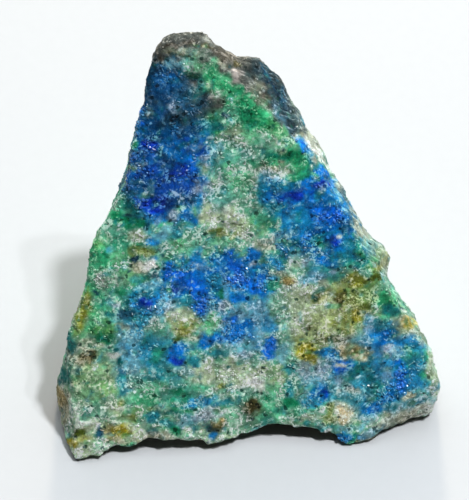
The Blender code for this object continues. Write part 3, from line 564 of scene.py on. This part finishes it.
def lay_hidden_sides(ore, points, normals):
    """The rock all round: pale ore with veins of blue and green, rusty places, a grey crest, and painted
    shade in umber on the faces turned down.
    """
    ore.lay("pale_green", np.ones(len(points)))
    mm = points / MM
    rear = ramp(0.20, -0.20, facing_viewer(normals))
    ore.lay("cream", ramp(-0.1, 0.35, mottle(mm, 5.5, 11, 2)))
    ore.lay("sage", ramp(0.0, 0.4, mottle(mm, 4.2, 12, 2)))
    ore.lay("tan", ramp(0.25, 0.6, mottle(mm, 5.0, 13, 2)))
    ore.lay("malachite", ramp(0.2, 0.5, mottle(mm, 6.5, 14, 3)))
    ore.lay("teal", ramp(0.45, 0.9, mottle(mm, 5.0, 15, 3) + 0.35 * mottle(mm, 1.3, 26, 3)))
    veins = mottle(mm, 8.0, 16, 3) + 0.45 * mottle(mm, 1.1, 25, 3)
    ore.lay("teal", ramp(0.15, 0.5, veins) * rear * 0.6)
    ore.lay("azurite", ramp(0.35, 0.75, veins) * rear * 0.85)
    ore.lay("cobalt", ramp(0.75, 1.05, veins) * rear * 0.8)
    ore.lay("olive", ramp(0.5, 0.8, mottle(mm, 4.5, 17, 3)))
    ore.lay("ochre", ramp(0.75, 1.0, mottle(mm, 3.2, 18, 2)) * rear)
    ore.lay("umber", ramp(0.8, 1.1, mottle(mm, 4.0, 19, 3)) * 0.8)
    right = ramp(0.35, 0.65, normals[:, 0] + 0.12 * mottle(mm, 2.4, 22, 2))
    ore.lay("flank", right * 0.9)
    ore.lay("tan", right * ramp(0.1, 0.5, mottle(mm, 3.0, 23, 3)) * 0.7)
    ore.lay("blue_grey", right * ramp(0.25, 0.6, mottle(mm, 3.6, 24, 3)) * 0.6)
    crest = ramp(30.5, 34.0, mm[:, 2] + 2.6 * mottle(mm, 4.0, 20, 4))
    ore.lay("crest_rock", crest)
    ore.lay("crest_brown", crest * ramp(0.2, 0.5, mottle(mm, 2.4, 21, 2)) * 0.8)
    # Painted shade: the faces turned down, under the stone, are laid dark umber for the shade beneath it.
    ore.lay("umber", ramp(-0.35, -0.7, normals[:, 2]) * 0.85)


def full_row(name, across, up, wide, high, strength=USUAL_STRENGTH, turn=0):
    return name, across, up, wide, high, strength, math.radians(turn)


def patches_broad_first():
    """Every patch, the broad ones first, so that the small ones lie on them."""
    patches = [full_row(name, *row) for name, rows in SHOWS.items() for row in rows]
    return sorted(patches, key=lambda row: -row[3] * row[4])


def pushed_about(mm, seed):
    wide = WIDE_PUSH * mottle(mm, WIDE_PUSH_SIZE, seed, 1)
    return wide, FINE_PUSH * mottle(mm, FINE_PUSH_SIZE, seed + 3, 2)


def lay_front(ore, points, normals):
    across, up = as_seen(points)
    mm = points / MM
    for push in pushed_about(mm, 41):
        across = across + push
    for push in pushed_about(mm, 42):
        up = up + push
    front = ramp(-0.06, 0.16, facing_viewer(normals))
    ragged = RAGGED * mottle(mm, 1.0, 43, 4)
    for name, a, u, wide, high, strength, turn in patches_broad_first():
        c, s = math.cos(turn), math.sin(turn)
        x, y = across - a, up - u
        reach = np.hypot((x * c + y * s) / wide, (-x * s + y * c) / high)
        ore.lay(name, ramp(EDGE_OUT, EDGE_IN, reach + ragged) * strength * front)


def stir_grains(ore, points):
    """Grains of one mixture stray into the next, and each spot is a little darker or paler."""
    mm = points / MM
    strongest, weakest = ore.colour.max(1), ore.colour.min(1)
    lively = ramp(0.15, 0.45, (strongest - weakest) / (strongest + 0.02))
    for name, size, start, full, seed, strength in STRAYS:
        ore.lay(name, ramp(start, full, mottle(mm, size, seed, 3)) * strength * lively)
    value = 1 + 0.22 * mottle(mm, 1.5, 35, 3)
    ore.depth *= value[:, None] ** STAIN


def mineral_map(points, normals):
    ore = MineralMap(len(points))
    lay_hidden_sides(ore, points, normals)
    lay_front(ore, points, normals)
    stir_grains(ore, points)
    return ore


# ------------------------------------------------------------------ the skin


def smoothed(points, edges, passes):
    """The points drawn towards their neighbours."""
    count = np.zeros(len(points))
    np.add.at(count, edges[:, 0], 1)
    np.add.at(count, edges[:, 1], 1)
    for _ in range(passes):
        total = np.zeros_like(points)
        np.add.at(total, edges[:, 0], points[edges[:, 1]])
        np.add.at(total, edges[:, 1], points[edges[:, 0]])
        points = points * 0.4 + (total / count[:, None]) * 0.6
    return points


def read_edges(mesh):
    edges = np.zeros(len(mesh.edges) * 2, np.int32)
    mesh.edges.foreach_get("vertices", edges)
    return edges.reshape(-1, 2)


def lay_out_uv(skin):
    """A UV map, laid out while the skin is still smooth."""
    select_only(skin)
    bpy.ops.object.mode_set(mode="EDIT")
    bpy.ops.mesh.select_all(action="SELECT")
    bpy.ops.uv.smart_project(angle_limit=math.radians(66), island_margin=0.002)
    bpy.ops.object.mode_set(mode="OBJECT")
    skin.data.uv_layers.active.name = "OFBake"


def even_skin():
    """A fine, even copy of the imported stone, with its UV map laid out while it is still smooth."""
    skin = new_piece("stone_skin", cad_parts[STONE_NODE].data.copy())
    skin.data.materials.clear()
    select_only(skin)
    bpy.ops.object.mode_set(mode="EDIT")
    bpy.ops.mesh.select_all(action="SELECT")
    bpy.ops.mesh.remove_doubles(threshold=SAME_POINT)
    bpy.ops.object.mode_set(mode="OBJECT")
    remesh = skin.modifiers.new("even_skin", "REMESH")
    remesh.mode = "VOXEL"
    remesh.voxel_size = SKIN_GRID
    soften = skin.modifiers.new("soften", "SMOOTH")
    soften.factor = 0.5
    soften.iterations = SKIN_SMOOTHING
    apply_modifiers(skin)
    lay_out_uv(skin)
    return skin


def relief(points, slaty):
    """How far each point stands out from the even skin, in mm."""
    mm = points / MM
    lumps = 0.18 * mottle(mm, 2.8, 51, 2) + 0.07 * mottle(mm, 1.2, 52, 2)
    chips = broken_facets(mm, CHIP, 60) * CHIP_HEIGHT
    sugar = broken_facets(mm, SUGAR, 70) * SUGAR_HEIGHT
    sugary = lumps + chips + sugar
    along = np.array(FIBRES)
    run = mm @ along
    flat = mm - run[:, None] * along * STREAK_DRAW
    streaks = 0.16 * mottle(flat, 0.55, 81, 2) + 0.18 * mottle(flat, 1.5, 82, 1)
    return sugary * (1 - 0.75 * slaty) + streaks * slaty - SINK


def slaty_places(points, normals):
    """1 on the slate shoulder and the right flank, where the rock splits along its length."""
    right = ramp(0.45, 0.75, normals[:, 0])
    crest = ramp(33.0, 36.5, points[:, 2] / MM)
    return np.clip(right + crest * 0.8, 0, 1)


def lower_lip(points):
    """The broken edge over the arch hangs a little lower than in the plain solid."""
    mm = points / MM
    across, _ = as_seen(points)
    drop = sum(by * np.exp(-(((across - middle) / half) ** 2)) for middle, half, by in LIP)
    drop = drop * ramp(LIP_FADES_ABOVE, LIP_FULL_BELOW, mm[:, 2])
    drop = drop * ramp(LIP_FADES_BEHIND, LIP_FRONT, mm[:, 1])
    lowered = points.copy()
    lowered[:, 2] -= drop * MM
    return lowered


def inside_box(points):
    low, high = (np.array(corner) for corner in CAD_BOX)
    return np.clip(points, low, high)


def grow_crust(skin, normals):
    points = lower_lip(read_points(skin.data))
    slaty = slaty_places(points, normals)
    fade = ramp(0.0, FOOT_FADE, points[:, 2] / MM)
    lift = relief(points, slaty) * fade * MM
    write_points(skin.data, inside_box(points + normals * lift[:, None]))


def hold_attributes(mesh, name, values):
    """Keeps one colour a point on the mesh, for the finish to read."""
    layer = mesh.attributes.new(name, "FLOAT_COLOR", "POINT")
    rgba = np.ones((len(values), 4), np.float32)
    rgba[:, :values.shape[1]] = values
    layer.data.foreach_set("color", rgba.ravel())


def broad_normals(mesh, edges):
    """Which way the skin faces, without its small unevenness."""
    normals = smoothed(read_normals(mesh), edges, 5)
    return normals / np.linalg.norm(normals, axis=1)[:, None]


def high_places(mesh, edges, normals):
    """0.5 on level ground, up to 1 on what stands out and down to 0 in what is hollow."""
    points = read_points(mesh)
    hollow = ((smoothed(points, edges, 4) - points) * normals).sum(1) / MM
    return np.clip(0.5 - hollow * 4.0, 0, 1)


def stone_skin():
    skin = even_skin()
    mesh = skin.data
    edges = read_edges(mesh)
    points = read_points(mesh)
    normals = broad_normals(mesh, edges)
    ore = mineral_map(points, normals)
    slaty = slaty_places(points, normals)
    grow_crust(skin, normals)
    high = high_places(mesh, edges, normals)
    hold_attributes(mesh, "mineral", ore.colour)
    hold_attributes(mesh, "flecks", ore.flecks)
    hold_attributes(mesh, "shares", ore.shares)
    # The finish paints shade in the hollows and highlight on the high places from the first of these.
    hold_attributes(mesh, "places", np.stack([high, slaty], 1))
    select_only(skin)
    bpy.ops.object.shade_smooth_by_angle(angle=CREASE)
    return skin, ore, normals


# ------------------------------------------------------------------ the crystals

SEED = 20

# The thinner side of a crystal, as a share of its thicker side.
FLATNESS = (0.6, 1.0)

# Nothing grows lower than this, where the stone stands.
CLEAR_OF_TABLE = 0.25 * MM

# Each kind of crystal: thickness and length in mm, its lean off the skin in degrees, how far its middle
# stands out in shares of its thickness, how much fleck colour it has, and its finish, roughness and shine.
CRYSTALS = {
    "quartz_needles": {
        "seed": 1, "shape": "needle", "count": 1500, "thick": (0.08, 0.14), "long": (0.20, 0.45),
        "lean": (-4, 12), "stands": 0.02, "pale": (0.4, 0.9), "bright": (0.80, 1.1),
        "finish": ("quartz_frost", 0.30, 0.40),
    },
    "azurite_crystals": {
        "seed": 2, "shape": "block", "count": 1500, "thick": (0.22, 0.50), "long": (0.20, 0.50),
        "lean": (10, 80), "stands": -0.22, "pale": (0.0, 0.20), "bright": (0.7, 1.4),
        "finish": ("azurite_glass", 0.22, 0.35),
    },
    "malachite_grains": {
        "seed": 3, "shape": "grain", "count": 1500, "thick": (0.24, 0.50), "long": (0.24, 0.60),
        "lean": (0, 80), "stands": -0.22, "pale": (0.0, 0.30), "bright": (0.7, 1.3),
        "finish": ("malachite_silk", 0.42, 0.30),
    },
    "quartz_sugar": {
        "seed": 4, "shape": "grain", "count": 1800, "thick": (0.16, 0.42), "long": (0.16, 0.46),
        "lean": (0, 80), "stands": -0.18, "pale": (0.2, 0.9), "bright": (0.8, 1.2),
        "finish": ("quartz_sugar_coat", 0.38, 0.35),
    },
    "rusty_grains": {
        "seed": 5, "shape": "grain", "count": 700, "thick": (0.20, 0.45), "long": (0.22, 0.50),
        "lean": (0, 80), "stands": -0.18, "pale": (0.0, 0.4), "bright": (0.6, 1.2),
        "finish": ("rust_coat", 0.70, 0.20),
    },
}

# How many sides a needle and a block have, and how far their pointed ends stand out.
SIDES = {"needle": 5, "block": 6}
POINTED = {"needle": 1.7, "block": 1.25}


def base_shape(kind):
    """One crystal of unit size, standing on end: its points and its three-sided faces."""
    bpy.ops.object.select_all(action="DESELECT")
    if kind in SIDES:
        sides = SIDES[kind]
        bpy.ops.mesh.primitive_cylinder_add(vertices=sides, radius=0.5, depth=1, end_fill_type="TRIFAN")
    else:
        bpy.ops.mesh.primitive_ico_sphere_add(subdivisions=1, radius=0.5)
    start = bpy.context.object
    bpy.ops.object.mode_set(mode="EDIT")
    bpy.ops.mesh.select_all(action="SELECT")
    bpy.ops.mesh.quads_convert_to_tris()
    bpy.ops.object.mode_set(mode="OBJECT")
    points = read_points(start.data)
    if kind in POINTED:
        middle = np.hypot(points[:, 0], points[:, 1]) < 0.01
        points[middle, 2] *= POINTED[kind]
    faces = np.array([list(p.vertices) for p in start.data.polygons])
    bpy.data.objects.remove(start)
    return points, faces


def choose_seats(skin, wanted, count, rng):
    """Picks faces of the skin for crystals to grow on, more where they are wanted."""
    mesh = skin.data
    size = len(mesh.polygons)
    areas = np.zeros(size)
    mesh.polygons.foreach_get("area", areas)
    centres = np.zeros(size * 3)
    mesh.polygons.foreach_get("center", centres)
    starts = np.zeros(size, np.int32)
    mesh.polygons.foreach_get("loop_start", starts)
    corners = np.zeros(len(mesh.loops), np.int32)
    mesh.loops.foreach_get("vertex_index", corners)
    corner = corners[starts]
    centres = centres.reshape(-1, 3)
    weights = areas * np.clip(wanted[corner], 0, None) * (centres[:, 2] > CLEAR_OF_TABLE)
    chosen = rng.choice(size, count, p=weights / weights.sum())
    return centres[chosen], corner[chosen]


def crystal_frames(normals, lean, rng):
    """A long axis for each crystal, leaning from the skin by up to lean degrees off its own plane."""
    count = len(normals)
    loose = rng.normal(size=(count, 3))
    across = loose - (loose * normals).sum(1)[:, None] * normals
    across /= np.linalg.norm(across, axis=1)[:, None]
    tilt = np.radians(rng.uniform(lean[0], lean[1], count))[:, None]
    axis = across * np.cos(tilt) + normals * np.sin(tilt)
    side = np.cross(axis, normals + 0.01 * across)
    side /= np.linalg.norm(side, axis=1)[:, None]
    return side, np.cross(axis, side), axis


def crystal_points(shape, seats, out, habit, rng):
    """The points of every crystal, each crystal leaning, turned and sized by its own draws."""
    count = len(seats)
    side, other, axis = crystal_frames(out, habit["lean"], rng)
    twist = rng.uniform(0, math.tau, count)[:, None]
    first = side * np.cos(twist) + other * np.sin(twist)
    second = other * np.cos(twist) - side * np.sin(twist)
    width = rng.uniform(*habit["thick"], count) * MM
    flat = width * rng.uniform(*FLATNESS, count)
    length = rng.uniform(*habit["long"], count) * MM
    scaled = shape[None] * np.stack([width, flat, length], 1)[:, None]
    points = (
        scaled[:, :, 0:1] * first[:, None]
        + scaled[:, :, 1:2] * second[:, None]
        + scaled[:, :, 2:3] * axis[:, None]
    )
    points += (seats + out * (width * habit["stands"])[:, None])[:, None]
    return inside_box(points.reshape(-1, 3))


def crystal_tints(ore, corner, habit, rng):
    """A colour for each crystal: that of the ore under it, partly that of its flecks."""
    pale = rng.uniform(*habit["pale"], len(corner))[:, None]
    tint = ore.colour[corner] * (1 - pale) + ore.flecks[corner] * pale
    return np.clip(tint * rng.uniform(*habit["bright"], len(corner))[:, None], 0, 1)


def grow(name, skin, ore, normals, wanted):
    """One piece: every crystal of one kind, more of them where they are wanted."""
    habit = CRYSTALS[name]
    rng = np.random.default_rng(SEED + habit["seed"])
    shape, shape_faces = base_shape(habit["shape"])
    seats, corner = choose_seats(skin, wanted, habit["count"], rng)
    points = crystal_points(shape, seats, normals[corner], habit, rng)
    starts = np.arange(len(seats)) * len(shape)
    faces = (shape_faces[None] + starts[:, None, None]).reshape(-1, 3)
    mesh = bpy.data.meshes.new(name)
    mesh.from_pydata(points.tolist(), [], faces.tolist())
    tints = crystal_tints(ore, corner, habit, rng)
    hold_attributes(mesh, "mineral", np.repeat(tints, len(shape), 0))
    return new_piece(name, mesh)


def dress(piece, finish):
    piece.data.materials.append(finish)
    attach(piece, BODY)


def hue_shares(ore):
    """How blue, how green, how pale and how rusty each point is, from 0 to 1."""
    red, green, blue = ore.colour.T
    total = red + green + blue + 0.02
    blueness = ramp(0.05, 0.35, (blue - green) / total)
    greenness = ramp(0.02, 0.2, (green - np.maximum(red, blue)) / total)
    rust = ramp(0.05, 0.3, (red - blue) / total)
    paleness = ramp(0.15, 0.5, ore.colour.min(1))
    return blueness, greenness, rust, paleness


def grow_crystals(skin, ore, normals):
    blueness, greenness, rust, paleness = hue_shares(ore)
    points = read_points(skin.data)
    open_rock = 1 - 0.6 * slaty_places(points, normals)
    patchy = (0.15 + ramp(-0.2, 0.8, mottle(points / MM, 1.9, 91, 3))) ** 2
    wanted = {
        "quartz_needles": ore.shares[:, 0] * 4 * patchy,
        "azurite_crystals": (0.02 + blueness) * patchy,
        "malachite_grains": (0.02 + greenness) * patchy,
        "quartz_sugar": (0.05 + paleness) * patchy,
        "rusty_grains": 0.01 + rust,
    }
    for name, places in wanted.items():
        piece = grow(name, skin, ore, normals, places * open_rock)
        dress(piece, crystal_finish(*CRYSTALS[name]["finish"]))


# ------------------------------------------------------------------ finishes

# Grains and the clouds over them: size in mm, and from how dark to how light.
GRAIN, GRAIN_VALUES = 0.34, (0.80, 1.24)
CLOUD, CLOUD_VALUES = 1.3, (0.68, 1.38)

# Frosty places: size in mm, how rare, and how strong.
FROST, FROST_RARE, FROST_SHARE = 1.1, 0.64, 0.24

# Fibres on the slaty rock: thickness in mm, how far drawn out, how strong, and the colour of the dark ones.
FIBRE, FIBRE_DRAW, FIBRE_SHARE = 0.40, 0.88, 0.75
FIBRE_SHADE = (0.25, 0.28, 0.30, 1)

# Pale strokes, partly pale grains and partly painted glints on crystal edges, in mm: (the crystals they run
# round, their half width, how long they are).
# They and the crumbs stand in clusters: size in mm and how rare. Then how strong both are, and how few are
# on slaty rock.
BROAD_STROKES = (0.78, 0.135, 0.60)
FINE_STROKES = (0.52, 0.105, 0.46)
CLUSTER, CLUSTER_RARE = 1.7, 0.665
CRUMB, CRUMB_SHARE = 0.36, 0.20
PALE_SHARE = 0.92
SLATE_IS_BARE = 0.75

# Pits, painted dark as shade in small holes: the size of their cells in mm, how common, how strong, the
# painted shade they lay on the ore, and their depth in mm.
PIT, PIT_COMMON, PIT_SHARE = 0.85, 2.1, 0.90
PIT_SHADE = (0.08, 0.18, 0.18, 1)
PIT_DEPTH = 0.12

# The facets that catch the light: size in mm, and from how rough to how smooth.
FACET, FACET_ROUGHNESS = 0.30, (0.80, 0.36)


class Recipe:
    """A short way to write a node tree."""

    def __init__(self, name):
        self.material = bpy.data.materials.new(name)
        self.material.use_nodes = True
        self.tree = self.material.node_tree
        self.shader = self.tree.nodes["Principled BSDF"]

    def node(self, kind, settings=None, **sockets):
        made = self.tree.nodes.new(kind)
        for key, value in (settings or {}).items():
            setattr(made, key, value)
        for key, value in sockets.items():
            self.put(made.inputs[key.replace("_", " ")], value)
        return made

    def put(self, socket, value):
        if isinstance(value, bpy.types.NodeSocket):
            self.tree.links.new(value, socket)
        else:
            socket.default_value = value

    def shade_with(self, **settings):
        for key, value in settings.items():
            self.put(self.shader.inputs[key.replace("_", " ")], value)

    def maths(self, operation, *values):
        made = self.node("ShaderNodeMath", {"operation": operation})
        for socket, value in zip(made.inputs, values):
            self.put(socket, value)
        return made.outputs[0]

    def plus(self, first, second):
        return self.maths("ADD", first, second)

    def minus(self, first, second):
        return self.maths("SUBTRACT", first, second)

    def times(self, first, second):
        return self.maths("MULTIPLY", first, second)

    def stronger(self, first, second):
        return self.maths("MAXIMUM", first, second)

    def vector(self, operation, *values):
        made = self.node("ShaderNodeVectorMath", {"operation": operation})
        for socket, value in zip(made.inputs, values):
            self.put(socket, value)
        return made.outputs["Value" if operation == "DOT_PRODUCT" else "Vector"]

    def scaled(self, vector, scale):
        made = self.node("ShaderNodeVectorMath", {"operation": "SCALE"}, Scale=scale)
        self.put(made.inputs[0], vector)
        return made.outputs[0]

    def step(self, value, low, high, out_low=0.0, out_high=1.0):
        made = self.node("ShaderNodeMapRange", {"interpolation_type": "SMOOTHSTEP"})
        names = ("Value", "From Min", "From Max", "To Min", "To Max")
        for key, number in zip(names, (value, low, high, out_low, out_high)):
            self.put(made.inputs[key], number)
        return made.outputs["Result"]

    def mix(self, share, first, second, blend="MIX"):
        made = self.node("ShaderNodeMix", {"data_type": "RGBA", "blend_type": blend})
        self.put(made.inputs[0], share)
        self.put(made.inputs[6], first)
        self.put(made.inputs[7], second)
        return made.outputs[2]

    def parts(self, colour):
        return self.node("ShaderNodeSeparateColor", Color=colour).outputs

    def valued(self, colour, value):
        """The colour, made lighter or darker."""
        grey = self.node("ShaderNodeCombineColor", Red=value, Green=value, Blue=value).outputs[0]
        return self.mix(1.0, colour, grey, "MULTIPLY")

    def stained(self, share, colour, stain):
        return self.mix(share, colour, self.mix(1.0, colour, stain, "MULTIPLY"))

    def held(self, name):
        return self.node("ShaderNodeAttribute", {"attribute_name": name}).outputs["Color"]

    def place(self):
        return self.node("ShaderNodeTexCoord").outputs["Object"]

    def noise(self, place, size_mm, detail=2.0, rough=0.55):
        return self.node("ShaderNodeTexNoise", Vector=place, Scale=1000 / size_mm, Detail=detail,
                         Roughness=rough)

    def cells(self, place, size_mm, feature="F1"):
        return self.node("ShaderNodeTexVoronoi", {"feature": feature}, Vector=place,
                         Scale=1000 / size_mm)


def shifted(r, place, vector):
    return r.vector("ADD", place, vector)


def bent_place(r, place, size_mm, by_mm):
    """The place, pushed about a little so that shapes drawn there curl."""
    warp = r.vector("SUBTRACT", r.noise(place, size_mm, 2.0).outputs["Color"], (0.5, 0.5, 0.5))
    return r.vector("ADD", place, r.scaled(warp, by_mm * MM))


def drawn_out(r, place, along, share):
    """The place, drawn out along one direction, so that a pattern there runs in fibres."""
    run = r.vector("DOT_PRODUCT", place, along)
    return r.vector("SUBTRACT", place, r.scaled(along, r.times(run, share)))


def grainy(r, body, place, ragged):
    """Grains, each a little lighter or darker than the next, under soft clouds."""
    grain = r.parts(r.cells(ragged, GRAIN).outputs["Color"])[0]
    cloud = r.noise(place, CLOUD, 4.0, 0.6).outputs["Fac"]
    value = r.times(r.step(grain, 0.0, 1.0, *GRAIN_VALUES), r.step(cloud, 0.30, 0.70, *CLOUD_VALUES))
    return r.valued(body, value)


def frosted(r, body, flecks, fleck_share, bent):
    """Soft pale places, where the fleck colour clouds the surface."""
    noise = r.noise(shifted(r, bent, (0.03, 0.01, 0.02)), FROST, 4.0, 0.62).outputs["Fac"]
    limit = r.minus(FROST_RARE, r.times(fleck_share, 0.35))
    frost = r.step(r.minus(noise, limit), -0.04, 0.16)
    return r.mix(r.times(frost, FROST_SHARE), body, flecks)


def fibrous(r, body, flecks, place, slaty):
    """Long dark and pale fibres on the slaty rock."""
    fibre = r.noise(drawn_out(r, place, FIBRES, FIBRE_DRAW), FIBRE, 4.0, 0.62).outputs["Fac"]
    dark = r.times(r.step(fibre, 0.47, 0.30), slaty)
    body = r.stained(r.times(dark, FIBRE_SHARE), body, FIBRE_SHADE)
    pale = r.times(r.step(fibre, 0.54, 0.72), slaty)
    return r.mix(r.times(pale, FIBRE_SHARE), body, flecks)


def strokes(r, place, cell_mm, wide_mm, gap_mm):
    """Short pale strokes along the edges of crystals, tapering to nothing, partly painted glints: 1 on a
    stroke, 0 off it.
    """
    edge = r.cells(place, cell_mm, "DISTANCE_TO_EDGE").outputs["Distance"]
    swell = r.noise(shifted(r, place, (0.04, 0.02, 0.01)), gap_mm, 1.0).outputs["Fac"]
    wide = r.step(swell, 0.47, 0.62, 0.002, wide_mm / cell_mm)
    return r.step(edge, wide, r.times(wide, 0.6))


def crumbs(r, place, cell_mm, share):
    """Small broken grains, a share of them picked: 1 on a picked grain, 0 off it."""
    cell = r.cells(place, cell_mm)
    pick = r.parts(cell.outputs["Color"])[0]
    chosen = r.step(r.minus(share, pick), -0.01, 0.01)
    return r.times(chosen, r.step(cell.outputs["Distance"], 0.62, 0.40))


def where_pale_and_highlit(r, place, fleck_share, rise, slaty):
    """Where the pale marks stand: in clusters, mostly on the high places, where they are painted highlight,
    and few on the slaty rock.
    """
    cluster = r.noise(shifted(r, place, (0.01, 0.06, 0.03)), CLUSTER, 4.0, 0.62).outputs["Fac"]
    allowed = r.plus(r.times(fleck_share, 0.70), r.times(rise, 0.30))
    here = r.step(r.plus(r.minus(cluster, CLUSTER_RARE), allowed), -0.08, 0.14)
    return r.times(here, r.minus(1.0, r.times(slaty, SLATE_IS_BARE)))


def pits_and_hollows_painted_shade(r, bent, pit_share, rise):
    """Painted shade: dark angular pits, and darkening in the deepest of the hollows between the grains."""
    cell = r.cells(bent, PIT)
    pick = r.parts(cell.outputs["Color"])[1]
    chosen = r.step(r.minus(r.times(pit_share, PIT_COMMON), pick), -0.02, 0.02)
    pit_shade = r.times(r.step(cell.outputs["Distance"], 0.36, 0.20), chosen)
    hollow = r.step(r.plus(rise, r.times(pit_share, -0.6)), -0.22, -0.42)
    return r.stronger(pit_shade, r.times(hollow, 0.60))


def tilt_facets(r, place, thread, pit_shade):
    """Small tilted facets that catch the light, with the strokes raised and the pits sunk."""
    facet = r.cells(place, FACET)
    tilt = r.vector("SUBTRACT", facet.outputs["Color"], (0.5, 0.5, 0.5))
    off_seat = r.vector("SUBTRACT", place, facet.outputs["Position"])
    plane = r.vector("DOT_PRODUCT", off_seat, tilt)
    fine = r.noise(place, 0.18, 2.0).outputs["Fac"]
    height = r.plus(r.times(plane, 0.5), r.times(fine, 0.03 * MM))
    height = r.plus(height, r.times(thread, 0.02 * MM))
    height = r.minus(height, r.times(pit_shade, PIT_DEPTH * MM))
    bump = r.node("ShaderNodeBump", Height=height, Strength=0.8, Distance=1.0)
    gloss = r.parts(facet.outputs["Color"])[2]
    r.shade_with(Normal=bump.outputs[0], Roughness=r.step(gloss, 0.1, 0.9, *FACET_ROUGHNESS))


def ore_finish():
    """Sugary ore: grains of its own mixture, frosty places, pale threads partly painted as glints, dark pits
    and hollows painted as shade, and tilted facets.
    """
    r = Recipe("sugary_ore")
    place = r.place()
    body, flecks = r.held("mineral"), r.held("flecks")
    fleck_share, pit_share = r.parts(r.held("shares"))[:2]
    high, slaty = r.parts(r.held("places"))[:2]
    rise = r.minus(high, 0.5)
    bent = bent_place(r, place, 0.55, 0.55)
    ragged = bent_place(r, bent_place(r, place, 0.45, 0.22), 0.14, 0.10)
    body = grainy(r, body, place, ragged)
    body = frosted(r, body, flecks, fleck_share, bent)
    body = fibrous(r, body, flecks, place, slaty)
    here = where_pale_and_highlit(r, place, fleck_share, rise, slaty)
    fine = strokes(r, shifted(r, ragged, (0.05, 0.02, 0.07)), *FINE_STROKES)
    thread = r.times(r.stronger(strokes(r, ragged, *BROAD_STROKES), fine), here)
    pale = r.stronger(thread, crumbs(r, ragged, CRUMB, r.times(here, CRUMB_SHARE)))
    # Painted highlight: the pale strokes stand partly for glints on crystal edges, more of them on the high
    # places.
    body = r.mix(r.times(pale, PALE_SHARE), body, flecks)
    # Painted shade: the pits and the deepest hollows darken the ore.
    pit_shade = pits_and_hollows_painted_shade(r, bent, pit_share, rise)
    body = r.stained(r.times(pit_shade, PIT_SHARE), body, PIT_SHADE)
    tilt_facets(r, place, thread, pit_shade)
    r.shade_with(Base_Color=body, Specular_IOR_Level=0.14, Subsurface_Weight=0.35,
                 Subsurface_Radius=(0.8, 1.0, 1.2), Subsurface_Scale=0.25 * MM)
    return r.material


def crystal_finish(name, roughness, shine):
    """Crystals coloured one by one, with a faint cloudiness inside each."""
    r = Recipe(name)
    cloud = r.step(r.noise(r.place(), 0.12, 2.0).outputs["Fac"], 0.2, 0.8, 0.82, 1.18)
    r.shade_with(Base_Color=r.valued(r.held("mineral"), cloud), Roughness=roughness,
                 Specular_IOR_Level=shine)
    return r.material


# ------------------------------------------------------------------ floor, light and camera

TABLE_COLOURS = ((0.578, 0.585, 0.600, 1), (0.600, 0.607, 0.622, 1))

# Two small lamps high on the right, a low window and a broad pale ceiling behind: where each one hangs and
# how wide it is, in metres, its power in watts, and its colour.
LIGHTS = {
    "main_lamp": ((0.35, 0.02, 1.0), 0.077, 7.8, (0.95, 0.98, 1.0)),
    "second_lamp": ((0.464, -0.05, 1.0), 0.038, 2.0, (0.95, 0.98, 1.0)),
    "window": ((0.0, 1.0, 0.27), 0.14, 6.8, (1.0, 0.86, 0.65)),
    "ceiling": ((0.0, 0.7, 1.0), 1.8, 15.1, (0.92, 0.98, 1.0)),
}
LIT_PLACE = (0, 0, 0.01)
ROOM_COLOUR = (0.93, 0.97, 1.0, 1)
ROOM_GLOW = 0.027


def pale_table():
    bpy.ops.object.select_all(action="DESELECT")
    bpy.ops.mesh.primitive_plane_add(size=3.0, location=(0, 0.6, 0))
    table = bpy.context.object
    table.name = "pale_table"
    r = Recipe("pale_card")
    grain = r.noise(r.place(), 1.5, 3.0).outputs["Fac"]
    r.shade_with(Base_Color=r.mix(grain, *TABLE_COLOURS), Roughness=0.7)
    table.data.materials.append(r.material)


def area_light(name, place, size, power, tint):
    lamp = bpy.data.lights.new(name, "AREA")
    lamp.shape = "DISK"
    lamp.size = size
    lamp.energy = power
    lamp.color = tint
    holder = bpy.data.objects.new(name, lamp)
    bpy.context.scene.collection.objects.link(holder)
    holder.location = place
    holder.rotation_euler = (Vector(LIT_PLACE) - Vector(place)).to_track_quat("-Z", "Y").to_euler()


def light_the_stone():
    for name, settings in LIGHTS.items():
        area_light(name, *settings)
    world = bpy.data.worlds.new("soft_room")
    bpy.context.scene.world = world
    world.use_nodes = True
    world.node_tree.nodes["Background"].inputs["Color"].default_value = ROOM_COLOUR
    world.node_tree.nodes["Background"].inputs["Strength"].default_value = ROOM_GLOW


def set_camera():
    lens = bpy.data.cameras.new("viewer")
    lens.lens = LENS_MM
    lens.sensor_width = SENSOR_MM
    lens.sensor_fit = "AUTO"
    lens.clip_start = 0.01
    eye = bpy.data.objects.new("viewer", lens)
    bpy.context.scene.collection.objects.link(eye)
    back = Vector((0, -math.cos(LOOK_DOWN), math.sin(LOOK_DOWN)))
    eye.location = LOOKED_AT + back * LOOK_FROM
    eye.rotation_euler = (math.pi / 2 - LOOK_DOWN, 0, 0)
    bpy.context.scene.camera = eye
    bpy.context.scene.view_settings.view_transform = "Standard"


# ------------------------------------------------------------------ the whole


set_camera()
light_the_stone()
pale_table()
skin, ore, skin_normals = stone_skin()
skin.data.materials.append(ore_finish())
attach(skin, BODY)
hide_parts(STONE_NODE)
grow_crystals(skin, ore, skin_normals)
